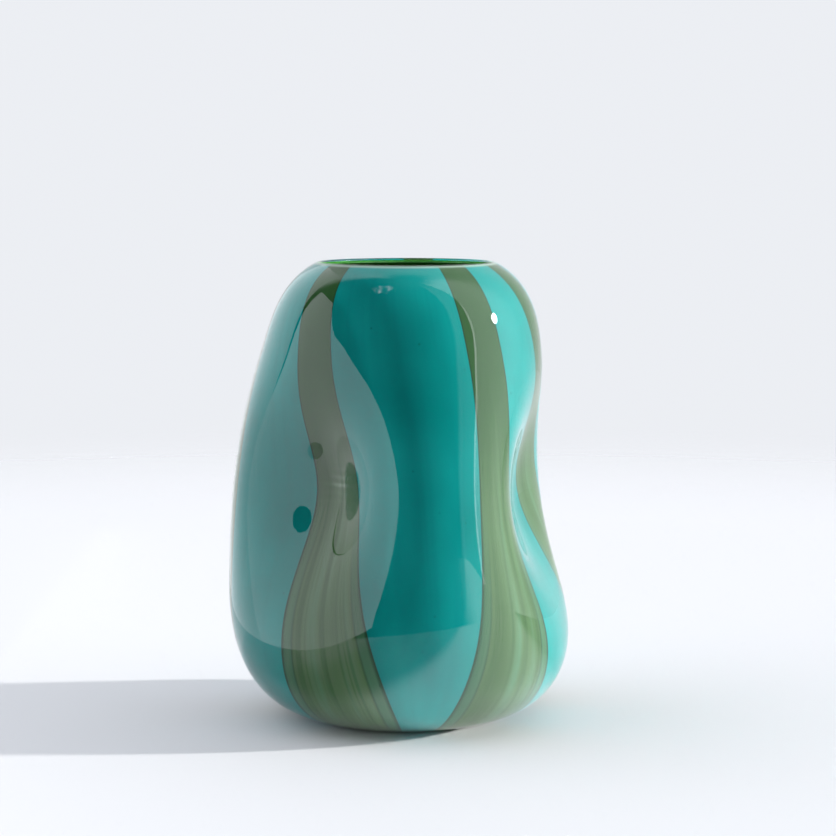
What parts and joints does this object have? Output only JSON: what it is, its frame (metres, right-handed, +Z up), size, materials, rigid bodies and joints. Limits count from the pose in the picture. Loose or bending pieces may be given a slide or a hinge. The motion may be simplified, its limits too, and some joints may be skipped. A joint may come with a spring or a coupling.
{
  "type": "blown glass vase",
  "caption": "Cased glass vase, wide at the foot and narrower at the mouth, pinched deep at the waist, turquoise with green vertical bands and a green inside.",
  "frame": {"origin": "middle of the flat ground foot", "axes": "+Z up through the mouth; -Y is the front, which has a pinch to its left (-X) and another on its right side (+X)"},
  "size_m": [0.1875, 0.1922, 0.2501],
  "materials": {
    "lining_glass": "streaky green glass, glossy",
    "green_glass": "streaky olive green glass under clear glass",
    "turquoise_glass": "dense turquoise glass under clear glass",
    "clear_glass": "clear, fire polished, a few seeds"
  },
  "bodies": {
    "root": {"green_lining": "lining_glass", "green_bar_1": "green_glass", "green_bar_2": "green_glass", "green_bar_3": "green_glass", "green_bar_4": "green_glass", "green_bar_5": "green_glass", "turquoise_bar_1": "turquoise_glass", "turquoise_bar_2": "turquoise_glass", "turquoise_bar_3": "turquoise_glass", "turquoise_bar_4": "turquoise_glass", "turquoise_bar_5": "turquoise_glass", "clear_casing": "clear_glass"}
  },
  "joints": []
}
